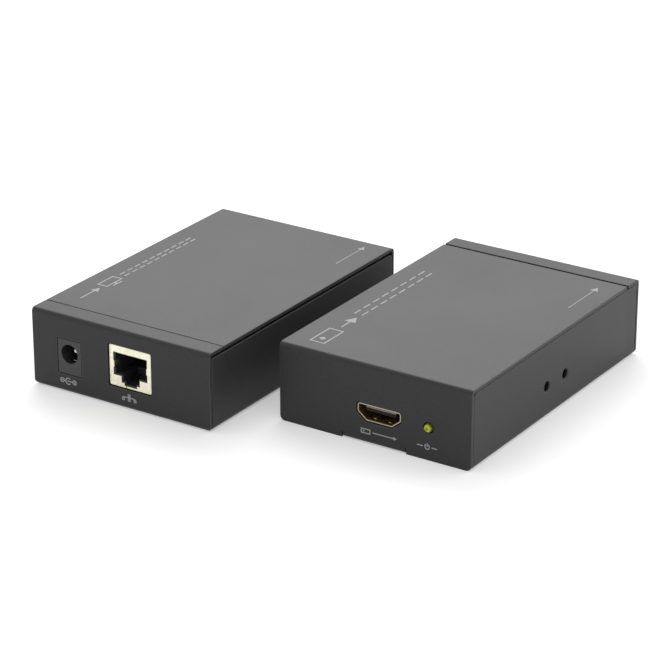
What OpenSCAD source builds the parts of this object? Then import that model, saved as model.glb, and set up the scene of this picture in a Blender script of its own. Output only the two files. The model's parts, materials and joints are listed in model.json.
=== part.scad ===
// A pair of small boxes that carry a picture signal over one network cable.
// Each box is a folded steel tray and a folded steel cover round one circuit board.
// +Z is up and +X runs across the pair. The origin lies on the table, midway between the two boxes.
// The receiver stands with its network end to the front, the transmitter with its video end to the front.

/* [Case] */
// Width of each box
case_w = 68; // [66:1:90]
// Length of each box from end to end
case_d = 105; // [98:1:140]
// Height of each box
case_h = 26; // [25:0.5:36]
// Thickness of the folded steel sheet
sheet_t = 1; // [0.8:0.1:1.2]
// Inner radius of the folds at the two ends
end_fold_r = 0.4; // [0.2:0.1:0.8]
// Inner radius of the folds along the two sides
side_fold_r = 0.8; // [0.3:0.1:1.2]
// Depth of the lip that the tray folds over the top
lip_d = 7.2; // [6:0.2:10]
// Gap between the lip and the cover on the receiver
receiver_lip_gap = 0.4; // [0.2:0.1:1.2]
// Gap between the lip and the cover on the transmitter
transmitter_lip_gap = 1; // [0.2:0.1:1.2]
// Seam under the cover along the side that has the two screw holes
near_seam = 0.3; // [0.2:0.1:0.8]
// Seam under the cover along the plain side
far_seam = 1; // [0.2:0.1:1.4]
// Gap between the end wall and the side walls at the network end
corner_gap = 0.5; // [0.3:0.1:0.9]

/* [Pair] */
// Free width between the two boxes
pair_gap = 12.3; // [4:0.1:60]
// How far the transmitter stands behind the receiver
pair_shift = 19.6; // [0:0.2:60]

/* [Side screw holes] */
// Diameter of the two screw holes in the side wall
side_hole_d = 3.3; // [2.6:0.1:4.2]
// Distance between the two screw holes
side_hole_pitch = 11.5; // [8:0.5:20]
// Height of the screw holes above the table
side_hole_z = 10.6; // [8:0.2:16]
// Place of the first screw hole, measured from the box's video end
side_hole_y = 45.5; // [30:0.5:60]

/* [Cover tab] */
// Width of the tab that the cover folds under the tray
tab_w = 21.8; // [14:0.2:30]
// Depth of that tab
tab_d = 8.5; // [7:0.5:12]
// Width of the two relief notches beside the tab
notch_w = 0.6; // [0.4:0.1:1]
// Height of the relief notches
notch_h = 1.9; // [1.6:0.1:3]

/* [Circuit board] */
// Share of the height left over by the board and the network socket that lies below the board
post_share = 0.48; // [0.4:0.01:0.6]
// Diameter of the posts
post_d = 5; // [4.4:0.2:6]
// Thickness of the board
board_t = 1.6; // [1.2:0.1:2]
// Free space between the board and the side walls
board_side_gap = 1; // [0.5:0.1:2]
// Free space between the board and the end walls
board_end_gap = 1; // [0.6:0.1:2]
// Distance of the screws from the board's edges
board_screw_inset = 4; // [3.6:0.2:5]
// Thread diameter of the board screws
board_screw_d = 3; // [2:0.5:3]

/* [Network socket] */
// Place of the socket across the network end
network_x = 3.6; // [-2:0.1:10]
// Width of its metal shield
network_w = 15.9; // [15.5:0.1:16.6]
// Height of the shield above the board
network_h = 13.6; // [13.2:0.1:14.4]
// Depth of the shield
network_d = 18; // [17:0.5:22]
// Width of the space for the plug
plug_w = 11.9; // [11.7:0.1:12.2]
// Height of the space for the plug
plug_h = 6.9; // [6.7:0.1:7.2]
// Depth of the space for the plug
plug_d = 13.4; // [12.8:0.1:14]
// Distance between the eight spring wires
wire_pitch = 1.02; // [0.98:0.01:1.06]
// Thickness of the spring wires
wire_t = 0.35; // [0.3:0.01:0.45]
// Free length of the spring wires
wire_l = 8.4; // [7.6:0.1:9]

/* [Power jack] */
// Distance of the jack's middle from the case's side
power_inset = 14.3; // [13.5:0.1:16]
// Width of the jack
power_w = 9; // [8.6:0.1:9.4]
// Height of the jack above the board
power_h = 11.1; // [10.8:0.1:12]
// Depth of the jack
power_d = 14.2; // [13.6:0.1:16]
// Height of the round hole's centre above the board
power_z = 6.4; // [6.2:0.1:6.6]
// Diameter of the round hole
power_hole_d = 6.4; // [6.2:0.1:6.6]
// Diameter of the centre pin
power_pin_d = 2; // [1.6:0.1:2.5]

/* [Video socket] */
// Place of the socket across the video end
video_x = -1.7; // [-6:0.1:6]
// Width of its shell across the wide upper side
video_w = 15.3; // [15:0.1:15.8]
// Width of the shell across the narrow lower side
video_foot_w = 9; // [8.6:0.1:10]
// Height of the shell
video_h = 5.4; // [5.2:0.1:5.8]
// Height of the shell's upright sides, from the top down
video_cheek_h = 2.9; // [2.6:0.1:3.1]
// Depth of the shell
video_d = 11.4; // [10.6:0.2:14]
// Height of the shell above the board
video_rise = 0.6; // [0.4:0.1:1]
// Distance between neighbouring contact strips of one row
video_pitch = 1; // [0.95:0.01:1.05]

/* [Power lamp] */
// Distance of the lamp's middle from the case's side
lamp_inset = 14.8; // [10:0.1:20]
// Diameter of the lamp
lamp_d = 3; // [2.8:0.1:3.2]
// Height of the lamp's centre above the board
lamp_z = 3.85; // [3.4:0.05:5]
// How far the lamp's dome stands out of the end wall
lamp_proud = 1.2; // [0.6:0.1:1.8]

/* [Hidden] */
$fn = 48;
overrun = 0.5;          // how far every cut runs past the face that it opens
fit_gap = 0.1;          // clearance round a piece that sits in another
touch_gap = 0.05;       // clearance of a snug fit

// Case
end_y = case_d / 2;
side_x = case_w / 2;
end_out_r = end_fold_r + sheet_t;
side_out_r = side_fold_r + sheet_t;
cover_seam = 0.3;       // gap between the side walls and the cover's end wall
trough_start_y = -end_y + sheet_t + corner_gap;
trough_stop_y = end_y - sheet_t - cover_seam;
trough_d = trough_stop_y - trough_start_y;
near_top = case_h - sheet_t - near_seam;
far_top = case_h - sheet_t - far_seam;
wall_corner_r = 1.2;    // rounding of the side walls' upper corners at the video end
tongue_reach = 5;       // how far the cover's tongue runs under the lip
tongue_side_gap = 0.6;  // gap between the tongue and the side walls
tongue_x = side_x - sheet_t - tongue_side_gap;
tongue_z = case_h - 2 * sheet_t - fit_gap;
side_hole_edge = 0.25;  // width of the bevel round the screw holes

// Pocket in the tray's floor that takes the cover's tab, and the screw through both
pocket_x = tab_w / 2 + fit_gap + cover_seam;
pocket_y = end_y - tab_d - cover_seam;
pocket_z = sheet_t + fit_gap;
pocket_top = pocket_z + sheet_t;

// Circuit board
post_h = post_share * (case_h - 2 * sheet_t - board_t - network_h);
board_low = sheet_t + post_h;
board_top = board_low + board_t;
board_w = case_w - 2 * sheet_t - 2 * board_side_gap;
board_d = case_d - 2 * sheet_t - 2 * board_end_gap;
board_corner_r = 1;
board_screw_x = board_w / 2 - board_screw_inset;
board_screw_y = board_d / 2 - board_screw_inset;
board_screw_share = 0.8; // how much of a post's depth its screw fills
board_screw_l = board_t + board_screw_share * post_h;
board_screw_head_d = 5.4;
board_screw_head_h = 1.6;
post_foot_d = 4.2;      // the part of a post that is pressed into the floor
leg_share = 0.4;        // reach of solder legs into the free height below the board
leg_drop = board_t + leg_share * (board_low - pocket_top);

// Screws
cover_screw_y = end_y - sheet_t - (tab_d - sheet_t) / 2;
cover_screw_d = 2.5;
cover_screw_share = 0.5; // reach of the cover's screw into the same free height
cover_screw_l = pocket_top + cover_screw_share * (board_low - pocket_top);
cover_screw_head_d = 4.2;
cover_screw_sink = 0.1; // how deep the screw's head lies below the floor's face
screw_cross_w = 0.5;    // width of the slots of a cross recess
screw_cross_share = 0.6; // a cross recess's length as a share of its head
screw_cross_h = 0.5;    // depth of a cross recess

// Network socket, measured from its mouth inwards and from the board's top upwards
network_recess = 0.5;   // how far its mouth lies behind the end wall's face
network_gap = 0.35;     // gap between the shield and the cut-out round it
shield_t = 0.3;
shield_corner_r = 0.6;
window_w = 12.9;        // opening in the shield's face
window_low = 3.6;
window_h = 7.7;
latch_w = 7;            // stepped slot for the plug's latch, upper step
latch_low = 1.5;
latch_foot_w = 4.8;     // and lower step
latch_foot_low = 0.6;
slit_w = 0.3;           // slit where the folded shield closes below the latch
slit_x = -1.6;
finger_low = 6.2;       // sprung fingers, folded in from both sides of the window
finger_h = 2.1;
finger_d = 2;
shield_leg_w = 1.6;
shield_leg_y = 8.4;
plug_low = 4;           // floor of the space for the plug
latch_inset = 0.4;      // the housing's latch slot is this much narrower than the shield's
latch_d = 8;            // depth of the latch slot
wire_slope = 18;        // how far the resting wires point downwards
wire_root_y = 2.7;      // the bend that the wires flex about
wire_root_rise = 0.55;  // its height above the roof of the plug space
wire_root_d = 0.5;
nest_h = 1;             // height of the recess in the roof that takes the lifted wires
nest_start_y = 1.9;
nest_stop_y = 9.4;
wire_count = 8;
wire_row_w = (wire_count - 1) * wire_pitch;
roof_z = plug_low + plug_h;
network_pin_w = 0.45;

// Power jack, measured like the network socket
power_x = power_inset - side_x;
power_recess = 0.1;
power_gap = 0.25;
power_flange_d = 1.5;   // the jack's front plate
power_flange_drop = 0.5; // reaches this far below the board's top, in front of the board
power_hole_depth = 9.6;
power_pin_front = 3;    // the pin's tip lies this far inside the mouth
leaf_w = 2.2;
leaf_t = 0.3;
leaf_slot_w = 2.9;
leaf_slot_z = 1.3;
leaf_slot_start = 1.8;
leaf_root_y = 10.9;     // the bend that the leaf flexes about
leaf_root_z = 2.3;
leaf_root_d = 0.6;
leaf_crest_y = 5;       // where the leaf touches a plug
leaf_crest_z = 4.05;
leaf_tip_y = 3.1;
leaf_tip_z = 3.1;
tab_plate_t = 0.4;
tab_plate_w = 2.2;
side_tab_y = 6.4;
side_tab_h = 5.2;

// Video socket, measured like the network socket
video_recess = 0.3;
video_gap = 0.4;
shell_t = 0.35;
video_round = 0.9;      // outer rounding of the shell's corners
video_leg_w = 1.2;
video_leg_shares = [0.25, 0.8]; // places of the legs along the shell
video_bump_d = 1.6;     // the two spring bumps in the shell's lower side
video_bump_h = 0.35;
video_bump_x = 2.6;
video_bump_y = 2.4;
tongue_w = 10.6;
tongue_t = 1.3;
tongue_low = 2.45;      // free height under the tongue
tongue_start = 1.1;     // the tongue's tip lies this far inside the mouth
tongue_block_start = 8.6; // where the insulator fills the whole shell
strip_w = 0.4;
strip_t = 0.2;
strip_sink = 0.14;      // depth of the strips in the tongue
strip_start = 0.5;      // distance of the strips from the tongue's tip
strip_tail = 0.45;      // gap between the shell's back and the strips' tails
strip_foot = 1;         // length of the strips' feet on the board
upper_strips = 10;
lower_strips = 9;

// Power lamp, measured inwards from the end wall's face
lamp_x = lamp_inset - side_x;
lamp_gap = 0.35;
lamp_body = 5.2;        // length of the lamp from the tip of its dome to its back
lamp_flange_d = 3.8;
lamp_flange_t = 0.9;
lamp_lead_t = 0.5;
lamp_lead_count = 2;
lamp_lead_pitch = 1.7;
lamp_lead_run = 1.5;    // how far the leads run back before they turn down
lamp_holder_w = 5;
lamp_holder_start = 1.9;
lamp_holder_d = 4.6;
lamp_holder_wall = 0.8;

// Parts on the board
part_gap = 3;           // free space between neighbours
chip_w = 14;
chip_h = 1.4;
chip_lift = 0.1;        // gap between the chip's body and the board
chip_leg_reach = 1;
chip_leg_w = 0.24;
chip_leg_t = 0.15;
chip_leg_pitch = 0.8;
chip_legs = 14;
transformer_w = 16;
transformer_d = 12.6;
transformer_h = 5.6;
transformer_leg_w = 0.5;
transformer_legs = 8;
crystal_l = 11;
crystal_w = 4.6;
crystal_h = 3.4;
crystal_base_t = 0.7;
crystal_rim = 0.5;
regulator_w = 6.6;
regulator_d = 6;
regulator_h = 2.3;
regulator_tab_t = 0.5;
regulator_tab_d = 2;
regulator_legs = 3;
regulator_leg_w = 0.9;
coil_w = 7.3;
coil_h = 4.4;
coil_bevel = 1.2;
coil_pad_t = 0.4;
can_d = 6.3;
can_h = 7.2;
can_base_w = 6.6;
can_base_h = 1;
can_neck = 0.25;        // depth of the groove that closes a can
can_neck_h = 0.6;

// Their places: one row runs inwards from the network socket, the other from the power jack
transformer_y = -end_y + network_recess + network_d + part_gap + (transformer_leg_w + transformer_d) / 2;
chip_y = transformer_y + (transformer_d + transformer_leg_w + chip_w) / 2 + part_gap + chip_leg_reach;
crystal_y = chip_y + (chip_w + crystal_w) / 2 + chip_leg_reach + part_gap;
input_can_y = -end_y + power_recess + power_d + fit_gap + tab_plate_t + part_gap + can_base_w / 2;
regulator_y = input_can_y + (can_base_w + regulator_d) / 2 + part_gap + regulator_tab_d;
coil_y = regulator_y + (regulator_d + coil_w) / 2 + regulator_tab_d + part_gap;
output_can_y = coil_y + (coil_w + can_base_w) / 2 + part_gap;
chip_can_x = network_x + (chip_w + can_base_w) / 2 + chip_leg_reach + part_gap;
can_places = [[power_x, input_can_y], [power_x, output_can_y], [chip_can_x, chip_y]];

// Pair
pair_x = (case_w + pair_gap) / 2;
pair_y = pair_shift / 2;

// The video socket's outline, wide side up, with every edge moved outwards by grow
function video_outline(grow) =
    let (
        wide = video_w / 2,
        foot = video_foot_w / 2,
        top = video_h,
        shoulder = video_h - video_cheek_h,
        lean = atan2(wide - foot, shoulder),
        low_x = foot + grow * (1 - sin(lean)) / cos(lean),
        low_z = shoulder - grow * tan(lean / 2)
    )
    [[-wide - grow, top + grow], [-wide - grow, low_z], [-low_x, -grow],
     [low_x, -grow], [wide + grow, low_z], [wide + grow, top + grow]];

// The same points with each corner turned into an arc of radius r
corner_steps = 4;
function heading(v) = v / norm(v);
function corner_arc(before, corner, after, r) =
    let (
        u = heading(before - corner),
        v = heading(after - corner),
        half = acos(u * v) / 2,
        centre = corner + heading(u + v) * r / sin(half),
        first = corner + u * r / tan(half) - centre,
        last = corner + v * r / tan(half) - centre,
        turn = 180 - 2 * half,
        way = sign(first.x * last.y - first.y * last.x)
    )
    [for (i = [0:corner_steps])
        let (a = way * turn * i / corner_steps)
        centre + [first.x * cos(a) - first.y * sin(a), first.x * sin(a) + first.y * cos(a)]];
function rounded(points, r) =
    let (n = len(points))
    [for (i = [0:n - 1])
        each corner_arc(points[(i + n - 1) % n], points[i], points[(i + 1) % n], r)];

// Places of count copies at one pitch, centred on zero
function row(count, pitch) = [for (i = [0:count - 1]) (i - (count - 1) / 2) * pitch];

// Moves what is drawn to one of the two boxes
module in_receiver() {
    translate([-pair_x, -pair_y, 0]) children();
}
module in_transmitter() {
    translate([pair_x, pair_y, 0]) rotate(180) children();
}

// Moves what is drawn from a socket's own frame to its place in a box
module at_network() {
    translate([network_x, -end_y + network_recess, board_top]) children();
}
module at_power() {
    translate([power_x, -end_y + power_recess, board_top]) children();
}
module at_video() {
    translate([video_x, end_y - video_recess, board_top]) rotate(180) children();
}
module at_lamp() {
    translate([lamp_x, end_y, board_top + lamp_z]) rotate(180) children();
}

// A box that is centred across X and starts at y and z
module bar(w, d, h, y = 0, z = 0) {
    translate([-w / 2, y, z]) cube([w, d, h]);
}

// A rod along Y from y, centred on x and z
module rod(r, l, y = 0, x = 0, z = 0) {
    translate([x, y, z]) rotate([-90, 0, 0]) cylinder(h = l, r = r);
}

// An outline drawn in X and Z, pushed inwards along Y from y
module plate(l, y = 0) {
    translate([0, y + l, 0]) rotate([90, 0, 0]) linear_extrude(l) children();
}

// An outline drawn in Y and Z, spread along X from x
module strip(w, x = 0) {
    translate([x, 0, 0]) rotate([90, 0, 90]) linear_extrude(w) children();
}

// A rectangle with round corners, from the origin to size
module round_square(size, r) {
    translate([r, 0]) square([size.x - 2 * r, size.y]);
    translate([0, r]) square([size.x, size.y - 2 * r]);
    for (x = [r, size.x - r], y = [r, size.y - r]) translate([x, y]) circle(r);
}

// The case's outline along its length, one sheet thick
module end_ring() {
    difference() {
        translate([-end_y, 0]) round_square([case_d, case_h], end_out_r);
        translate([-end_y + sheet_t, sheet_t])
            round_square([case_d - 2 * sheet_t, case_h - 2 * sheet_t], end_fold_r);
    }
}

// The case's end view, round where the sides fold up from the floor
module end_view() {
    translate([-side_x, 0]) round_square([case_w, case_h], side_out_r);
    translate([-side_x, case_h / 2]) square([case_w, case_h / 2]);
}

// Floor and side walls
module trough_outline() {
    difference() {
        translate([-side_x, 0]) round_square([case_w, 2 * case_h], side_out_r);
        translate([-side_x + sheet_t, sheet_t])
            round_square([case_w - 2 * sheet_t, 2 * case_h], side_fold_r);
    }
}
module wall_outline(top) {
    difference() {
        translate([trough_start_y, 0]) square([trough_d, top]);
        translate([trough_stop_y - wall_corner_r, top - wall_corner_r]) difference() {
            square(wall_corner_r + overrun);
            circle(wall_corner_r);
        }
    }
}
module trough_half(top, x) {
    intersection() {
        plate(trough_d, trough_start_y) trough_outline();
        strip(side_x + overrun, x) wall_outline(top);
    }
}

// The end wall at the network end, with its folds to the floor and to the lip
module tray_end() {
    intersection() {
        strip(case_w, -side_x) intersection() {
            end_ring();
            translate([-end_y - overrun, -overrun]) square([lip_d + overrun, case_h + 2 * overrun]);
        }
        plate(case_d, -end_y) end_view();
    }
}

module base_tray() {
    color("#39393b") difference() {
        union() {
            trough_half(near_top, -side_x - overrun);
            trough_half(far_top, 0);
            tray_end();
            bar(2 * pocket_x + 2 * sheet_t, trough_stop_y - pocket_y + sheet_t,
                pocket_top, pocket_y - sheet_t);
        }
        // relief at the two corners where three folds meet
        for (x = [-side_x - overrun, side_x - side_out_r])
            translate([x, -end_y + sheet_t, -overrun])
                cube([side_out_r + overrun, corner_gap, near_top + overrun]);
        // pocket for the cover's tab
        bar(2 * pocket_x, tab_d + overrun, pocket_z + overrun, pocket_y, -overrun);
        translate([0, cover_screw_y, 0]) cylinder(h = pocket_top + overrun, d = cover_screw_d + touch_gap);
        network_cutout();
        power_cutout();
        side_holes();
        for (x = [-board_screw_x, board_screw_x], y = [-board_screw_y, board_screw_y])
            translate([x, y, -overrun]) cylinder(h = sheet_t + 2 * overrun, d = post_foot_d + touch_gap);
    }
}

module network_cutout() {
    w = network_w + 2 * network_gap;
    plate(sheet_t + 2 * overrun, -end_y - overrun)
        translate([network_x - w / 2, board_top - network_gap])
            round_square([w, network_h + 2 * network_gap], shield_corner_r);
}

module power_cutout() {
    w = power_w + 2 * power_gap;
    low = board_top - power_flange_drop - power_gap;
    plate(sheet_t + 2 * overrun, -end_y - overrun)
        translate([power_x - w / 2, low]) square([w, board_top + power_h + power_gap - low]);
}

module side_holes() {
    for (i = [0, 1])
        translate([-side_x, end_y - side_hole_y - i * side_hole_pitch, side_hole_z]) rotate([0, 90, 0]) {
            translate([0, 0, -overrun]) cylinder(h = sheet_t + 2 * overrun, d = side_hole_d);
            cylinder(h = side_hole_edge, d1 = side_hole_d + 2 * side_hole_edge, d2 = side_hole_d);
        }
}

// Top, video-end wall, tongue and tab
module top_cover(lip_gap) {
    edge_y = -end_y + lip_d + lip_gap;
    foot_x = tab_w / 2 + notch_w;
    color("#3d3d3f") difference() {
        intersection() {
            union() {
                strip(case_w, -side_x) intersection() {
                    end_ring();
                    translate([edge_y, case_h / 2]) square([case_d, case_h]);
                }
                bar(case_w, sheet_t, case_h / 2, end_y - sheet_t, notch_h);
                for (x = [-side_x, foot_x])
                    translate([x, end_y - sheet_t, 0]) cube([side_x - foot_x, sheet_t, case_h / 2]);
                strip(tab_w, -tab_w / 2) intersection() {
                    end_ring();
                    translate([end_y - tab_d, -overrun]) square([tab_d + overrun, case_h / 2]);
                }
                bar(2 * tongue_x, tongue_reach + lip_gap + sheet_t, sheet_t,
                    edge_y - lip_gap - tongue_reach, tongue_z);
                bar(2 * tongue_x, sheet_t, case_h - tongue_z, edge_y, tongue_z);
            }
            plate(case_d, -end_y) end_view();
        }
        plate(sheet_t + 2 * overrun, end_y - sheet_t - overrun)
            translate([video_x, board_top + video_rise])
                polygon(rounded(video_outline(video_gap), video_round));
        translate([lamp_x, 0, board_top + lamp_z])
            rod(lamp_d / 2 + lamp_gap, sheet_t + 2 * overrun, end_y - sheet_t - overrun);
        translate([0, cover_screw_y, 0]) {
            translate([0, 0, -overrun]) cylinder(h = sheet_t + 2 * overrun, d = cover_screw_d + 2 * fit_gap);
            cylinder(h = sheet_t, d1 = cover_screw_head_d + 2 * fit_gap, d2 = cover_screw_d + 2 * fit_gap);
        }
    }
}

// Cuts a cross recess into a screw's head, downwards from z
module cross_recess(head_d) {
    for (a = [0, 90]) rotate(a)
        translate([-head_d * screw_cross_share / 2, -screw_cross_w / 2, -screw_cross_h])
            cube([head_d * screw_cross_share, screw_cross_w, screw_cross_h + overrun]);
}

module cover_screw() {
    head_h = sheet_t - cover_screw_sink;
    color("#2c2c2e") translate([0, cover_screw_y, cover_screw_sink]) difference() {
        union() {
            cylinder(h = head_h, d1 = cover_screw_head_d, d2 = cover_screw_d);
            cylinder(h = cover_screw_l, d = cover_screw_d);
        }
        mirror([0, 0, 1]) cross_recess(cover_screw_head_d);
    }
}

module board_posts() {
    color("#b9b4a6")
    for (x = [-board_screw_x, board_screw_x], y = [-board_screw_y, board_screw_y])
        translate([x, y, 0]) difference() {
            union() {
                translate([0, 0, sheet_t]) cylinder(h = post_h, d = post_d);
                cylinder(h = sheet_t + touch_gap, d = post_foot_d);
            }
            translate([0, 0, sheet_t]) cylinder(h = post_h + overrun, d = board_screw_d + touch_gap);
        }
}

module board_screws() {
    color("#c9c9cc")
    for (x = [-board_screw_x, board_screw_x], y = [-board_screw_y, board_screw_y])
        translate([x, y, board_top]) difference() {
            union() {
                cylinder(h = board_screw_head_h, d = board_screw_head_d);
                translate([0, 0, -board_screw_l]) cylinder(h = board_screw_l, d = board_screw_d);
            }
            translate([0, 0, board_screw_head_h]) cross_recess(board_screw_head_d);
        }
}

module circuit_board() {
    color("#1f5b3a") difference() {
        translate([-board_w / 2, -board_d / 2, board_low]) linear_extrude(board_t)
            round_square([board_w, board_d], board_corner_r);
        for (x = [-board_screw_x, board_screw_x], y = [-board_screw_y, board_screw_y])
            translate([x, y, board_low - overrun])
                cylinder(h = board_t + 2 * overrun, d = board_screw_d + 2 * fit_gap);
        at_network() {
            shield_legs(fit_gap);
            network_pin_tails(fit_gap);
        }
        at_power() {
            power_pin_tail(fit_gap);
            leaf_tab(fit_gap);
            side_tab(fit_gap);
        }
        at_video() video_legs(fit_gap);
        at_lamp() lamp_lead_tails(fit_gap);
        // the jack's front plate reaches down in front of the board
        at_power() bar(power_w + 2 * fit_gap, board_end_gap + sheet_t, 2 * board_t, power_flange_d + fit_gap
            - board_end_gap - sheet_t, -board_t - overrun);
    }
}

// Legs that run from z down through the board, drawn wider by grow where the board is cut for them
module leg(w, d, z, x, y, grow) {
    translate([x - w / 2 - grow, y - d / 2 - grow, -leg_drop])
        cube([w + 2 * grow, d + 2 * grow, leg_drop + z]);
}

// Metal shield of the network socket
module shield_window() {
    translate([-window_w / 2, window_low]) square([window_w, window_h]);
    translate([-latch_w / 2, latch_low]) square([latch_w, window_low - latch_low + overrun]);
    translate([-latch_foot_w / 2, latch_foot_low])
        square([latch_foot_w, latch_low - latch_foot_low + overrun]);
    translate([slit_x - slit_w / 2, -overrun]) square([slit_w, latch_low + overrun]);
}
module shield_legs(grow = 0) {
    for (side = [-1, 1])
        leg(shield_t, shield_leg_w, network_h / 2, side * (network_w - shield_t) / 2, shield_leg_y, grow);
}
module shield_finger() {
    inner = window_w / 2 - shield_t;
    bend = window_w / 2;
    translate([0, 0, finger_low]) linear_extrude(finger_h)
        polygon([[inner, 0], [bend + shield_t, 0], [bend + shield_t, shield_t], [bend, shield_t],
                 [bend, finger_d], [inner, finger_d]]);
}
module network_shield() {
    color("#d8d2bd") at_network() {
        for (side = [0, 1]) mirror([side, 0, 0]) shield_finger();
        difference() {
            plate(network_d)
                translate([-network_w / 2, 0]) round_square([network_w, network_h], shield_corner_r);
            plate(network_d - 2 * shield_t, shield_t)
                translate([-network_w / 2 + shield_t, -overrun])
                    square([network_w - 2 * shield_t, network_h - shield_t + overrun]);
            plate(shield_t + 2 * overrun, -overrun) shield_window();
            // the back is open below, where the pins leave
            bar(wire_row_w + 2 * wire_pitch, shield_t + 2 * overrun, network_h / 2,
                network_d - shield_t - overrun, -overrun);
        }
        shield_legs();
    }
}

// Insulating block of the network socket, open to the front for the plug and its latch
module network_housing() {
    w = network_w - 2 * shield_t - 2 * fit_gap;
    h = network_h - shield_t - fit_gap;
    front = shield_t + fit_gap;
    d = network_d - 2 * shield_t - 2 * fit_gap - 2 * network_pin_w;
    color("#1b1b1d") at_network() difference() {
        bar(w, d, h, front);
        bar(plug_w, plug_d - front + overrun, plug_h, front - overrun, plug_low);
        bar(latch_w - 2 * latch_inset, latch_d, plug_low - latch_low - latch_inset + overrun,
            front - overrun, latch_low + latch_inset);
        bar(latch_foot_w - 2 * latch_inset, latch_d, latch_low - latch_foot_low + 2 * overrun,
            front - overrun, latch_foot_low + latch_inset);
        // recesses beside the plug that take the shield's fingers
        bar(window_w + 2 * fit_gap, finger_d + fit_gap - front + overrun, finger_h + 2 * fit_gap,
            front - overrun, finger_low - fit_gap);
        // recess in the roof that takes the lifted wires
        bar(wire_row_w + 2 * wire_pitch, nest_stop_y - nest_start_y, nest_h + overrun, nest_start_y,
            roof_z - overrun);
        // slots that the fixed pins run in, over the roof and down to the wires' roots
        for (x = row(wire_count, wire_pitch)) translate([x, 0, 0]) {
            bar(network_pin_w + 2 * touch_gap, network_d, network_pin_w + touch_gap + overrun,
                wire_root_y - network_pin_w / 2 - touch_gap, h - network_pin_w - touch_gap);
            bar(network_pin_w + 2 * touch_gap, network_pin_w + 2 * touch_gap, h - roof_z,
                wire_root_y - network_pin_w / 2 - touch_gap, roof_z + nest_h - overrun);
        }
    }
}

// Spring wires that touch the plug: each turns about its root near the socket's mouth
module spring_wires() {
    color("#d9b25a") at_network()
    for (x = row(wire_count, wire_pitch))
        translate([x - wire_t / 2, wire_root_y, roof_z + wire_root_rise]) {
            rotate([0, 90, 0]) cylinder(h = wire_t, d = wire_root_d);
            rotate([-wire_slope, 0, 0]) {
                translate([0, 0, -wire_t / 2]) cube([wire_t, wire_l, wire_t]);
                translate([0, wire_l, 0]) rotate([0, 90, 0]) cylinder(h = wire_t, d = wire_t);
            }
        }
}

// Fixed ends of the wires: from the roots over the housing's roof and down behind it
module network_pin_tails(grow = 0) {
    for (x = row(wire_count, wire_pitch))
        leg(network_pin_w, network_pin_w, 0, x, network_pin_y(), grow);
}
function network_pin_y() = network_d - shield_t - fit_gap - network_pin_w / 2;
module network_pins() {
    top = network_h - shield_t - fit_gap;
    color("#d9b25a") at_network() {
        for (x = row(wire_count, wire_pitch)) translate([x, 0, 0]) {
            bar(network_pin_w, network_pin_y() - wire_root_y + network_pin_w, network_pin_w,
                wire_root_y - network_pin_w / 2, top - network_pin_w);
            bar(network_pin_w, network_pin_w, top - roof_z - nest_h, wire_root_y - network_pin_w / 2,
                roof_z + nest_h);
            bar(network_pin_w, network_pin_w, top, network_pin_y() - network_pin_w / 2);
        }
        network_pin_tails();
    }
}

// Body of the power jack
module power_housing() {
    color("#232325") at_power() difference() {
        union() {
            bar(power_w, power_d, power_h);
            bar(power_w, power_flange_d, power_h, 0, -power_flange_drop);
        }
        translate([0, 0, power_z]) {
            rod(power_hole_d / 2, power_hole_depth + overrun, -overrun);
            rod(power_pin_d / 2 + touch_gap, power_d + overrun);
        }
        // slot for the leaf spring, under the round hole
        bar(leaf_slot_w, leaf_root_y + leaf_root_d + tab_plate_t + fit_gap - leaf_slot_start,
            power_z - leaf_slot_z, leaf_slot_start, leaf_slot_z);
        // way down for the leaf's fixed tab
        leaf_tab(fit_gap);
    }
}

module power_pin_tail(grow = 0) {
    leg(tab_plate_w, tab_plate_t, power_z + power_pin_d / 2, 0, power_d + fit_gap + tab_plate_t / 2, grow);
}
module power_pin() {
    tip_r = power_pin_d / 4;
    color("#c8c8c4") at_power() {
        translate([0, 0, power_z]) {
            rod(power_pin_d / 2, power_d + fit_gap + tab_plate_t - power_pin_front - tip_r,
                power_pin_front + tip_r);
            translate([0, power_pin_front, 0]) rotate([-90, 0, 0])
                cylinder(h = tip_r, d1 = power_pin_d / 2, d2 = power_pin_d);
        }
        power_pin_tail();
    }
}

// Leaf spring that presses on the plug from below: it turns about its root at the back of the slot
module leaf_bar(from, to) {
    run = to - from;
    translate([-leaf_w / 2, from.x, from.y]) rotate([atan2(run.y, run.x), 0, 0]) {
        translate([0, 0, -leaf_t / 2]) cube([leaf_w, norm(run), leaf_t]);
        rotate([0, 90, 0]) cylinder(h = leaf_w, d = leaf_t);
    }
}
module leaf_spring() {
    root = [leaf_root_y, leaf_root_z];
    crest = [leaf_crest_y, leaf_crest_z - leaf_t / 2];
    tip = [leaf_tip_y, leaf_tip_z];
    color("#cfc9b4") at_power() {
        translate([-leaf_w / 2, root.x, root.y]) rotate([0, 90, 0]) cylinder(h = leaf_w, d = leaf_root_d);
        leaf_bar(tip, crest);
        leaf_bar(crest, root);
    }
}

module leaf_tab(grow = 0) {
    leg(tab_plate_w, tab_plate_t, leaf_root_z + leaf_root_d / 2, 0,
        leaf_root_y + leaf_root_d / 2 + touch_gap + fit_gap + tab_plate_t / 2, grow);
}
module side_tab(grow = 0) {
    leg(tab_plate_t, tab_plate_w, side_tab_h, power_w / 2 + touch_gap + tab_plate_t / 2, side_tab_y, grow);
}
module power_tabs() {
    color("#c8c8c4") at_power() {
        leaf_tab();
        side_tab();
    }
}

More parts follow.
